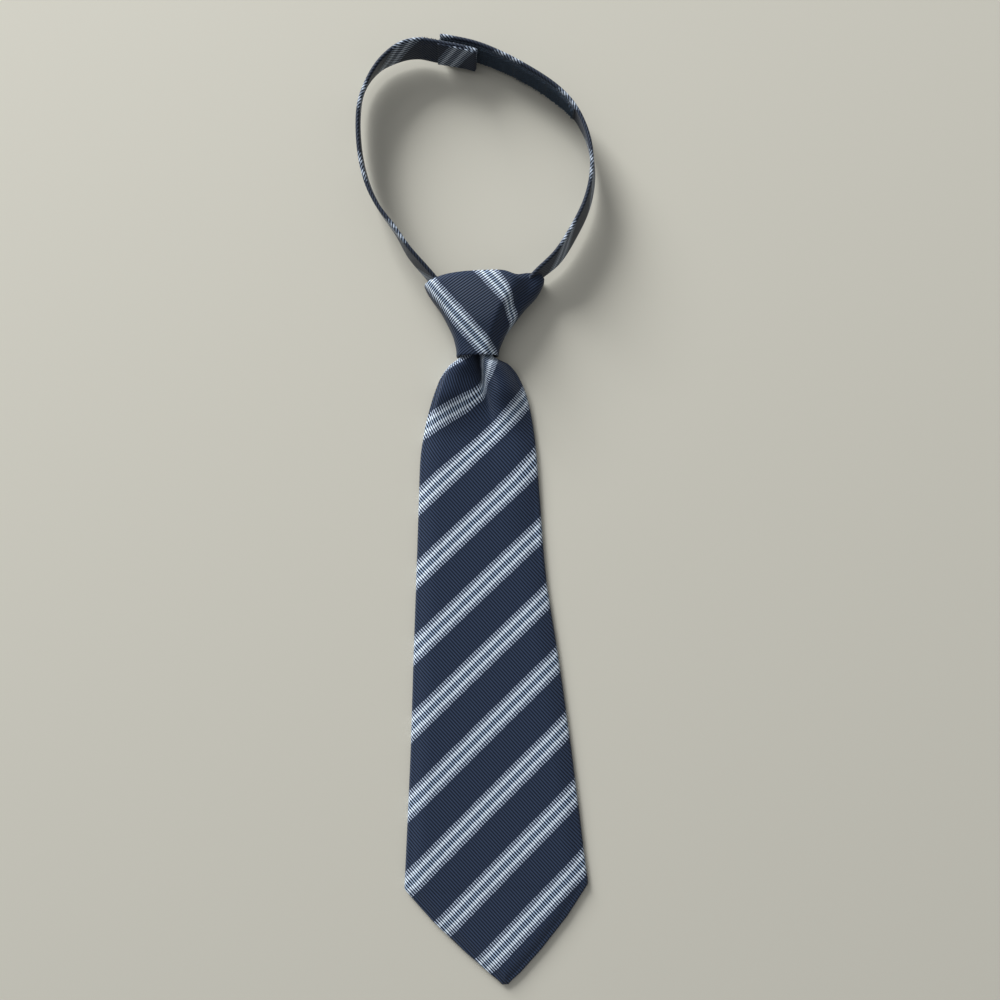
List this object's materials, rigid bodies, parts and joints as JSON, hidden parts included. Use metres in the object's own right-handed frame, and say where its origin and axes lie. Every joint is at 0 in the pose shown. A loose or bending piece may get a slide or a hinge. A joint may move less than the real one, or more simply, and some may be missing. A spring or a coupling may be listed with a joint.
{
  "type": "hook-and-loop tie",
  "caption": "Child's pre-tied striped neck tie with a pointed blade, a fixed knot and a narrow neck strap closed by hook-and-loop tape, lying flat.",
  "frame": {"origin": "on the knot's flat back, in the plane that the tie lies on", "axes": "+Y from the blade's tip past the knot towards the neck strap's closure, +X to the wearer's left side, +Z out of the front of the tie"},
  "size_m": [0.0914, 0.3655, 0.0162],
  "materials": {
    "navy_cloth": "ribbed polyester, faint sheen, light blue and white diagonal stripes",
    "hook_tape": "matt woven tape with stiff hooks",
    "loop_tape": "matt woven tape with soft looped pile"
  },
  "bodies": {
    "root": {"blade": "navy_cloth", "knot": "navy_cloth", "strap_left": "navy_cloth", "strap_right": "navy_cloth", "hook_tape": "hook_tape", "loop_tape": "loop_tape"}
  },
  "joints": []
}
